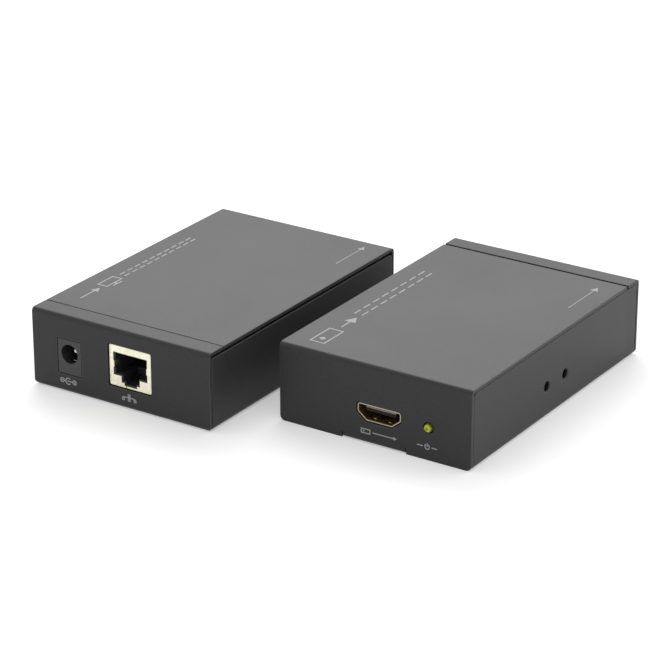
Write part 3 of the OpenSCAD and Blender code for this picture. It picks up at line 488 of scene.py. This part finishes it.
bench, oxide = finish("black_screw", (0.02, 0.02, 0.022), Metallic=0.6)
rim = use(bench, edges, Width_mm=0.15)
turned = use(bench, grain, Size_mm=0.25)
blued = bench.mixed(turned["Tone"], OXIDE_DARK, OXIDE_PALE)
bench.feed(oxide["Base Color"], bench.mixed(rim["Worn"], blued, OXIDE_WORN))
bench.feed(oxide["Roughness"], bench.between(turned["Tone"], low=0.3, high=0.45))
bench.feed(oxide["Normal"], bumped(bench, turned["Height"], rim["Normal"], depth_mm=0.01, strength=0.4))


# %% [markdown]
# ### Moulded plastics
# The network socket's black insulator and the jack's body are moulded, and the coil's core is pressed from
# ferrite. Spark-eroded moulds leave an even, very fine grain, and the edges come out a little paler. The
# recipe takes two tones, a gloss and a grain, because the pieces differ only in these.


# %% Moulded plastics
ROUGHER_IN_USE = 0.12


def moulded(slot, dark, light, gloss, grain_mm, depth_mm):
    bench, plastic = finish(slot, dark, IOR=1.5)
    rim = use(bench, edges, Width_mm=0.15)
    mould = use(bench, grain, Size_mm=grain_mm)
    handled = use(bench, finger_marks, Size_mm=6.0)
    colour = bench.mixed(mould["Tone"], dark, light)
    colour = bench.mixed(bench.weakened(rim["Edge"], share=0.3), colour, light)
    bench.feed(plastic["Base Color"], colour)
    bench.feed(plastic["Roughness"], bench.between(handled["Marks"], low=gloss, high=gloss + ROUGHER_IN_USE))
    bench.feed(plastic["Normal"], bumped(bench, mould["Height"], rim["Normal"], depth_mm, strength=0.5))


moulded("socket_plastic", dark=(0.010, 0.010, 0.011, 1), light=(0.022, 0.022, 0.024, 1), gloss=0.42,
        grain_mm=0.18, depth_mm=0.008)
moulded("jack_plastic", dark=(0.016, 0.016, 0.017, 1), light=(0.032, 0.032, 0.034, 1), gloss=0.38,
        grain_mm=0.22, depth_mm=0.01)
moulded("coil_ferrite", dark=(0.035, 0.035, 0.037, 1), light=(0.08, 0.08, 0.082, 1), gloss=0.6,
        grain_mm=0.3, depth_mm=0.02)

# %% [markdown]
# ### Tongue of the video socket
# The insulator in the video socket is dark brown, and plugs slide over its upper face. That face and the
# rounded edge before it are painted near white, a painted highlight for the sheen of light from above, and
# they are a little glossier. The direction that the rounded surface looks in finds both.

# %% Tongue of the video socket
TONGUE_DARK, TONGUE_BROWN = (0.005, 0.003, 0.003, 1), (0.010, 0.006, 0.006, 1)
TONGUE_PAINTED_SHEEN = (0.75, 0.74, 0.76, 1)

bench, tongue = finish("tongue_plastic", (0.007, 0.005, 0.005), IOR=1.3)
rim = use(bench, edges, Width_mm=0.35)
mould = use(bench, grain, Size_mm=0.16)
upward = bench.spread(bench.component(rim["Normal"], "Z"), low=0.1, high=0.4)
# painted highlight: faces that look up take a near-white colour
wear_and_sheen = bench.maths("MULTIPLY", upward, bench.between(mould["Tone"], low=0.7, high=1.0))
dark = bench.mixed(mould["Tone"], TONGUE_DARK, TONGUE_BROWN)
bench.feed(tongue["Base Color"], bench.mixed(wear_and_sheen, dark, TONGUE_PAINTED_SHEEN))
bench.feed(tongue["Roughness"], bench.between(wear_and_sheen, low=0.5, high=0.32))
bench.feed(tongue["Normal"], bumped(bench, mould["Height"], rim["Normal"], depth_mm=0.006, strength=0.4))

# %% [markdown]
# ### Chip resin with tinned feet
# Chips are black epoxy with bright metal feet. Both belong to one solid here, so the height above the board
# decides: the lowest half millimetre is metal.

# %% Chip resin with tinned feet
RESIN_DARK, RESIN_PALE = (0.014, 0.014, 0.015, 1), (0.03, 0.03, 0.032, 1)
FOOT_TIN = (0.7, 0.7, 0.69, 1)
FOOT_MM = 0.45

bench, resin = finish("chip_resin", (0.02, 0.02, 0.022), IOR=1.5)
rim = use(bench, edges, Width_mm=0.12)
mould = use(bench, grain, Size_mm=0.12)
height = bench.component(use(bench, place_in_box)["Place mm"], "Z")
feet = bench.maths("LESS_THAN", height, board_top / MM + FOOT_MM)
black = bench.mixed(mould["Tone"], RESIN_DARK, RESIN_PALE)
bench.feed(resin["Base Color"], bench.mixed(feet, black, FOOT_TIN))
bench.feed(resin["Metallic"], feet)
bench.feed(resin["Roughness"], bench.between(mould["Tone"], low=0.45, high=0.6))
bench.feed(resin["Normal"], bumped(bench, mould["Height"], rim["Normal"], depth_mm=0.008, strength=0.4))

# %% [markdown]
# ### Circuit board
# A green board is yellowish glass laminate under green lacquer. Where copper tracks run below the lacquer
# it looks paler, and the bare edge shows the laminate. The tracks here are drawn by a cell pattern of
# straight walls, which leaves thin lines like tracks between blocks of ground copper.

# %% Circuit board
LACQUER, LACQUER_ON_COPPER = (0.012, 0.10, 0.045, 1), (0.035, 0.21, 0.09, 1)
FIBRE_DARK, FIBRE_PALE = (0.30, 0.27, 0.13, 1), (0.46, 0.42, 0.24, 1)
BLOCKS_PER_MM = 0.35
UPRIGHT = 0.5           # faces whose normal rises less than this are the board's sawn edges

bench, board = finish("board_laminate", (0.02, 0.12, 0.06), IOR=1.5, Coat_Weight=0.3, Coat_Roughness=0.15)
blocks = {"Vector": use(bench, place_in_box)["Place mm"], "Scale": BLOCKS_PER_MM, "Randomness": 0.65}
walls = bench.add("TexVoronoi", blocks, feature="DISTANCE_TO_EDGE", distance="EUCLIDEAN").outputs[0]
track = bench.spread(walls, low=0.10, high=0.07)
weave = use(bench, grain, Size_mm=0.3)
lacquer = bench.mixed(track, LACQUER, LACQUER_ON_COPPER)
facing = bench.component(bench.add("NewGeometry").outputs["Normal"], "Z")
sawn = bench.maths("LESS_THAN", bench.maths("ABSOLUTE", facing), UPRIGHT)
fibre = bench.mixed(weave["Tone"], FIBRE_DARK, FIBRE_PALE)
bench.feed(board["Base Color"], bench.mixed(sawn, lacquer, fibre))
bench.feed(board["Roughness"], bench.between(weave["Tone"], low=0.3, high=0.5))
rim = use(bench, edges, Width_mm=0.1)
bench.feed(board["Normal"], bumped(bench, track, rim["Normal"], depth_mm=0.03, strength=0.5))

# %% [markdown]
# ### Power lamp
# The lamp is a 3 mm light-emitting diode in tinted, slightly cloudy resin, and it glows faintly. Its chip and
# cup show as a darker middle and the light gathers in a yellow-green ring round them. The resin's flank,
# where it dives into the wall, is painted dark olive as the shade of the hole round it. So the distance from
# the lamp's axis picks the colour on a ramp, and a little noise clouds it.

# %% Power lamp
LAMP_CHIP, LAMP_RING, LAMP_FLANK_SHADE = (0.11, 0.13, 0.002, 1), (0.34, 0.40, 0.004, 1), (0.045, 0.05, 0.001, 1)
CHIP_EDGE_MM, RING_EDGE_MM = 0.35, 0.95
LAMP_BLUR_MM = 0.4
CLOUD_MM = 0.12         # how far the clouds push the edges in and out

bench, lamp = finish("lamp_resin", (0.24, 0.28, 0.01), IOR=1.5, Emission_Strength=0.3)
axis = (lamp_middle.x / MM, 0, middle("receiver_power_lamp").z / MM)
offset = bench.vector("SUBTRACT", use(bench, place_in_box)["Place mm"], axis)
across = bench.vector("MULTIPLY", offset, (1, 0, 1))
reach = bench.add("VectorMath", {0: across}, operation="LENGTH").outputs["Value"]
cloud = use(bench, grain, Size_mm=0.8)
reach = bench.maths("ADD", reach, bench.between(cloud["Tone"], low=-CLOUD_MM, high=CLOUD_MM))
past_chip = bench.spread(reach, low=CHIP_EDGE_MM, high=CHIP_EDGE_MM + LAMP_BLUR_MM)
# painted shade: beyond the ring the flank darkens as if in the hole's shadow
into_flank_shade = bench.spread(reach, low=RING_EDGE_MM, high=RING_EDGE_MM + LAMP_BLUR_MM)
glow = bench.mixed(into_flank_shade, bench.mixed(past_chip, LAMP_CHIP, LAMP_RING), LAMP_FLANK_SHADE)
bench.feed(lamp["Base Color"], glow)
bench.feed(lamp["Emission Color"], glow)
bench.feed(lamp["Roughness"], bench.between(cloud["Tone"], low=0.16, high=0.26))

# %% [markdown]
# ## Dress the solids
# The record says which finish each solid takes. The solids keep their meshes; only their material changes.

# %% Dress the solids
slot_of = {part["node"]: part["material_slot"] for part in frame["record"]["subparts"]}
for name, solid in frame["nodes"].items():
    solid.data.materials.clear()
    solid.data.materials.append(finishes[slot_of[name]])
print("powder coat on", [name for name, slot in slot_of.items() if slot == "case_steel"])
print(len(frame["nodes"]), "solids wear", len(set(slot_of.values())), "finishes")

# %% [markdown]
# ## Printed marks
# Plain symbols say what each opening is for: a player or a screen at the video socket, three joined boxes at
# the network socket, the polarity sign at the power jack and the on sign at the lamp. An image on the
# surface could carry them, but each mark is made as a real film of ink, a few hundredths of a millimetre
# thick. So it catches light at its rim, stays sharp at any distance and needs no unwrapping. A symbol is a
# list of flat shapes, and a flat shape is a list of points in millimetres, to the right and up as one reads.

# %% Flat shapes for the marks
INK_MM = 0.03           # thickness of the ink
PEN = 0.32              # width of a printed line
ARC_STEP = math.radians(15)


def block(left, low, right, top):
    return [(left, low), (right, low), (right, top), (left, top)]


def line(x0, y0, x1, y1):
    along = Vector((x1 - x0, y1 - y0)).normalized() * PEN / 2
    side_x, side_y = -along.y, along.x
    return [(x0 - side_x, y0 - side_y), (x1 - side_x, y1 - side_y),
            (x1 + side_x, y1 + side_y), (x0 + side_x, y0 + side_y)]


def arc(x, y, radius, start=0, stop=360):
    first, last = math.radians(start), math.radians(stop)
    steps = max(2, round((last - first) / ARC_STEP))
    turns = [first + (last - first) * i / steps for i in range(steps + 1)]
    inner, outer = radius - PEN, radius
    quads = []
    for a, b in zip(turns, turns[1:]):
        corners = [(inner, a), (outer, a), (outer, b), (inner, b)]
        quads.append([(x + r * math.cos(t), y + r * math.sin(t)) for r, t in corners])
    return quads


def disc(x, y, radius):
    turns = [i * ARC_STEP for i in range(round(2 * math.pi / ARC_STEP))]
    return [(x + radius * math.cos(t), y + radius * math.sin(t)) for t in turns]


def outline(left, low, right, top):
    return [block(left, low, right, low + PEN), block(left, top - PEN, right, top),
            block(left, low + PEN, left + PEN, top - PEN), block(right - PEN, low + PEN, right, top - PEN)]


def arrow(x, y, length, head):
    tip, neck = x + length, x + length - head
    return [block(x, y - PEN / 2, neck, y + PEN / 2), [(neck, y - head / 2), (tip, y), (neck, y + head / 2)]]


def shifted(shapes, right, up):
    return [[(x + right, y + up) for x, y in shape] for shape in shapes]


def enlarged(shapes, factor):
    return [[(x * factor, y * factor) for x, y in shape] for shape in shapes]


# %% [markdown]
# ### The symbols
# Each symbol fills a box that is given by its width and height, so one function serves a small mark beside a
# socket and a large one on the cover. Inside it, everything is a share of that box; only the pen stays as
# wide as it is, because small printed lines have one width.


# %% The symbols
WIDE = 1.55             # width of a screen or player, for a height of 1


def screen(height):
    wide, foot = height * WIDE, height * 0.24
    panel = outline(0, foot, wide, height)
    neck = block(wide * 0.44, PEN, wide * 0.56, foot)
    base = block(wide * 0.22, 0, wide * 0.78, PEN)
    return panel + [neck, base]


def player(height):
    wide = height * WIDE
    front = outline(0, height * 0.12, wide, height * 0.88)
    button = disc(wide * 0.3, height * 0.5, height * 0.13)
    return front + [button]


def video_mark(width, height, outgoing):
    machine_wide, pause, head = height * WIDE, height * 0.35, height * 0.55
    way = arrow(0, height / 2, width - machine_wide - pause, head)
    if outgoing:
        return way + shifted(screen(height), width - machine_wide, 0)
    return player(height) + shifted(way, machine_wide + pause, 0)


def network_mark(width, height):
    cell, rail = height * 0.42, height * 0.5
    places = (cell / 2, width / 2, width - cell / 2)
    shapes = outline(width / 2 - cell / 2, height - cell, width / 2 + cell / 2, height)
    for x in places:
        shapes += outline(x - cell / 2, 0, x + cell / 2, cell)
        shapes.append(block(x - PEN / 2, cell, x + PEN / 2, rail))
    return shapes + [block(places[0], rail - PEN / 2, places[-1], rail + PEN / 2)]


def polarity_mark(width, height):
    ring, cup, pin, y = height * 0.36, height * 0.5, height * 0.15, height / 2
    rings = arc(ring, y, ring) + arc(width - ring, y, ring) + arc(width / 2, y, cup, 40, 320)
    joints = [line(2 * ring, y, width / 2 - cup, y), line(width / 2, y, width - 2 * ring, y)]
    minus = line(ring / 2, y, ring * 1.5, y)
    plus = [line(width - ring * 1.5, y, width - ring / 2, y),
            line(width - ring, y - ring / 2, width - ring, y + ring / 2)]
    return rings + [disc(width / 2, y, pin)] + joints + [minus] + plus


def on_mark(width, height):
    radius, middle_x = height * 0.46, width / 2
    switch = arc(middle_x, radius, radius, 120, 420) + [line(middle_x, radius, middle_x, height)]
    dash_left, dash_right = line(0, radius, width * 0.28, radius), line(width * 0.72, radius, width, radius)
    return switch + [dash_left, dash_right]


def dashes(width, height):
    dash, pause = height * 1.1, height * 0.5
    count = int((width + pause) / (dash + pause))
    starts = [i * (dash + pause) for i in range(count)]
    return [block(x, y, x + dash, y + PEN) for y in (0, height - PEN) for x in starts]


# %% [markdown]
# ### Stamping
# A face of the case is given by a corner and the two directions in which the mark is read. Each flat shape
# becomes a thin slab that lies on the face, and all shapes of one mark are one mesh.


# %% Stamp a mark on a face
def stamp(name, shapes, corner, right, up):
    outward = right.cross(up)
    vertices, faces = [], []
    for shape in shapes:
        start, count = len(vertices), len(shape)
        for lift in (0.0, INK_MM):
            for x, y in shape:
                vertices.append(corner + (right * x + up * y + outward * lift) * MM)
        faces.append([start + i for i in reversed(range(count))])
        faces.append([start + count + i for i in range(count)])
        for i in range(count):
            j = (i + 1) % count
            faces.append([start + i, start + j, start + count + j, start + count + i])
    mesh = bpy.data.meshes.new(name)
    mesh.from_pydata(vertices, [], faces)
    mesh.materials.append(finishes["print_ink"])
    piece = bpy.data.objects.new(name, mesh)
    bpy.context.scene.collection.objects.link(piece)
    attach(piece, "root")
    print("mark", name, "has", len(shapes), "shapes")


# %% [markdown]
# ### Marks at the sockets
# Seen from outside, each end wall is read from its left lower corner. Each mark has one place and size on
# its wall, which holds for both boxes.

# %% Marks at the sockets
LEFT, RIGHT, BACK, UP = Vector((-1, 0, 0)), Vector((1, 0, 0)), Vector((0, 1, 0)), Vector((0, 0, 1))
# left, low, width and height in millimetres
AT_JACK = (10.3, 2.7, 6.5, 2.4)
AT_NETWORK = (34.5, 2.8, 5.5, 2.4)
AT_VIDEO = (29.4, 2.9, 12.8, 2.2)
AT_LAMP = (49.3, 3.4, 7.0, 2.1)


def end_faces(side):
    low, high = case[side]
    front = (Vector((low.x, low.y, 0)), RIGHT)
    back = (Vector((high.x, high.y, 0)), LEFT)
    return (front, back) if side == "receiver" else (back, front)


for side in SIDES:
    network_wall, video_wall = end_faces(side)
    for label, drawn, box, wall in (("_polarity_mark", polarity_mark, AT_JACK, network_wall),
                                    ("_network_mark", network_mark, AT_NETWORK, network_wall),
                                    ("_video_mark", video_mark, AT_VIDEO, video_wall),
                                    ("_on_mark", on_mark, AT_LAMP, video_wall)):
        left, low, width, height = box
        more = {"outgoing": side == "receiver"} if drawn is video_mark else {}
        stamp(side + label, shifted(drawn(width, height, **more), left, low), *wall, UP)

# %% [markdown]
# ### Marks on the covers
# The covers are read along the box, from its right-hand side. A player or a screen with an arrow tells the
# two boxes apart, a dashed double line runs on from it like the signal in its cable, and one more arrow lies
# near the far end of the other edge.

# %% Marks on the covers
BOLD = 1.7              # large marks are drawn small and enlarged, which thickens their lines
# distance from the left edge, distance from the front, length along the box and height of the mark
ON_COVERS = {
    "receiver": {"_cover_icon": (5.6, 14.2, 20.3, 5.4), "_cover_line": (6.5, 36.8, 42.0, 2.5),
                 "_cover_arrow": (58.6, 82.6, 17.3, 2.4)},
    "transmitter": {"_cover_icon": (5.9, 6.0, 22.7, 7.3), "_cover_line": (6.8, 31.0, 47.0, 3.4),
                    "_cover_arrow": (59.3, 71.4, 19.4, 2.8)},
}


def cover_shapes(side, label, length, height):
    if label == "_cover_arrow":
        return arrow(0, height / 2, length, height)
    if label == "_cover_line":
        return enlarged(dashes(length / BOLD, height / BOLD), BOLD)
    return enlarged(video_mark(length / BOLD, height / BOLD, side == "receiver"), BOLD)


for side, marks in ON_COVERS.items():
    low, high = case[side]
    for label, (x, y, length, height) in marks.items():
        corner = Vector((low.x, low.y, high.z)) + Vector((x + height, y, 0)) * MM
        stamp(side + label, cover_shapes(side, label, length, height), corner, BACK, LEFT)

# %% [markdown]
# ## A small photo studio
# The pair stands on a white sweep. For the camera and for reflections the floor adds a little light of its
# own, so that it photographs white, while the shadows that the boxes throw still show as grey. Seen from
# below, the floor is clear, so that the underside of the boxes can be looked at.


# %% Floor
WHITE = (1, 1, 1, 1)
PAPER_GREY, PAPER_WHITE = (0.80, 0.80, 0.80, 1), (0.83, 0.83, 0.83, 1)
FLOOR_GLOW = 0.3
FLOOR_WIDTH = 6.0       # metres
FLOOR_DROP = 0.05 * MM  # keeps the floor clear of the boxes' undersides


def seen_directly(bench):
    rays = bench.add("LightPath").outputs
    seen = bench.maths("ADD", rays["Is Camera Ray"], rays["Is Glossy Ray"])
    return bench.maths("MINIMUM", bench.maths("ADD", seen, rays["Is Transmission Ray"]), 1.0)


def studio_floor():
    material = bpy.data.materials.new("sweep")
    material.use_nodes = True
    nodes = material.node_tree.nodes
    nodes.remove(nodes["Principled BSDF"])
    bench = Bench(material.node_tree)
    paper = bench.noise(bench.add("TexCoord").outputs["Object"], per_metre=6.0)
    matt = bench.add("BsdfDiffuse", {"Color": bench.mixed(paper, PAPER_GREY, PAPER_WHITE)}).outputs[0]
    glow = bench.add("Emission", {"Color": WHITE, "Strength": FLOOR_GLOW}).outputs[0]
    both = bench.add("AddShader", {0: matt, 1: glow}).outputs[0]
    shown = bench.add("MixShader", {0: seen_directly(bench), 1: matt, 2: both}).outputs[0]
    clear = bench.add("BsdfTransparent").outputs[0]
    below = bench.add("NewGeometry").outputs["Backfacing"]
    result = bench.add("MixShader", {0: below, 1: shown, 2: clear}).outputs[0]
    bench.feed(nodes["Material Output"].inputs["Surface"], result)
    bpy.ops.mesh.primitive_plane_add(size=FLOOR_WIDTH, location=(0, 0, -FLOOR_DROP))
    floor = bpy.context.object
    floor.name = "sweep"
    floor.data.materials.append(material)
    floor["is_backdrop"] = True
    print("floor", [round(v, 1) for v in floor.dimensions], "m")


studio_floor()

# %% [markdown]
# ### Walls
# White walls all round give an even light. The world stands in for them: the camera, and any glossy or clear
# surface, sees it as plain white, and it lights the boxes at a lower strength of its own.

# %% Walls
WALL_LIGHT = 0.85

world = bpy.data.worlds.new("studio")
bpy.context.scene.world = world
world.use_nodes = True
walls = Bench(world.node_tree)
even = world.node_tree.nodes["Background"]
walls.feed(even.inputs["Color"], WHITE)
walls.feed(even.inputs["Strength"], WALL_LIGHT)
plain = walls.add("Background", {"Color": WHITE, "Strength": 1.0}).outputs[0]
both = walls.add("MixShader", {0: seen_directly(walls), 1: even.outputs[0], 2: plain}).outputs[0]
walls.feed(world.node_tree.nodes["World Output"].inputs["Surface"], both)
print("walls give", WALL_LIGHT, "and look white")

# %% [markdown]
# ### Lamps
# Two large soft lamps give the light a direction. The key lamp stands high, behind and to the left, where
# the tops mirror it towards the camera: so they look pale although the powder is dark. The side lamp stands
# low, behind and to the right, and makes the right-hand walls lighter than the fronts. A direction is given
# by two angles: the azimuth, counted from the front towards the right, and the elevation above the table.


# %% Lamps
def direction(azimuth, elevation):
    turn, tilt = math.radians(azimuth), math.radians(elevation)
    return Vector((math.sin(turn) * math.cos(tilt), -math.cos(turn) * math.cos(tilt), math.sin(tilt)))


def soft_lamp(name, azimuth, elevation, distance, size, power):
    light = bpy.data.lights.new(name, "AREA")
    light.shape = "SQUARE"
    light.size = size
    light.energy = power
    lamp = bpy.data.objects.new(name, light)
    bpy.context.scene.collection.objects.link(lamp)
    away = direction(azimuth, elevation)
    lamp.location = away * distance
    lamp.rotation_euler = (-away).to_track_quat("-Z", "Y").to_euler()
    print(name, "stands at", [round(v, 2) for v in lamp.location])


soft_lamp("key", azimuth=-145, elevation=42, distance=1.2, size=0.9, power=7.0)
soft_lamp("side", azimuth=128, elevation=16, distance=1.2, size=0.6, power=2.5)

# %% [markdown]
# ### Camera
# The photograph was taken from far away with a long lens: the boxes' edges hardly converge. The angles,
# the distance and the lens were found by laying the edges of both cases over the photograph.

# %% Camera
AIM = Vector((-15.62, 21.67, 0)) * MM       # the place on the table that lies in the picture's middle
AZIMUTH, ELEVATION = 33.04, 23.21
DISTANCE = 0.94         # metres
SENSOR_MM, LENS_MM = 36.0, 153.7
NEAREST, FARTHEST = 0.05, 20.0

camera_data = bpy.data.cameras.new("camera")
camera_data.sensor_width = SENSOR_MM
camera_data.lens = LENS_MM
camera_data.clip_start, camera_data.clip_end = NEAREST, FARTHEST
camera = bpy.data.objects.new("camera", camera_data)
bpy.context.scene.collection.objects.link(camera)
towards_camera = direction(AZIMUTH, ELEVATION)
camera.location = AIM + towards_camera * DISTANCE
camera.rotation_mode = "QUATERNION"
camera.rotation_quaternion = (-towards_camera).to_track_quat("-Z", "Y")
bpy.context.scene.camera = camera
bpy.context.scene.view_settings.view_transform = "Standard"
print("camera stands at", [round(v, 3) for v in camera.location], "m")

# %% [markdown]
# ## Check the size
# The dressed pair must still fill the same box as the solids.

# %% Check the size
shown_box = [list(corner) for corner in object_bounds()]
changes = [abs(a - b) for p, q in zip(cad_box, shown_box) for a, b in zip(p, q)]
print("largest change of the box", round(max(changes) / MM, 3), "mm")
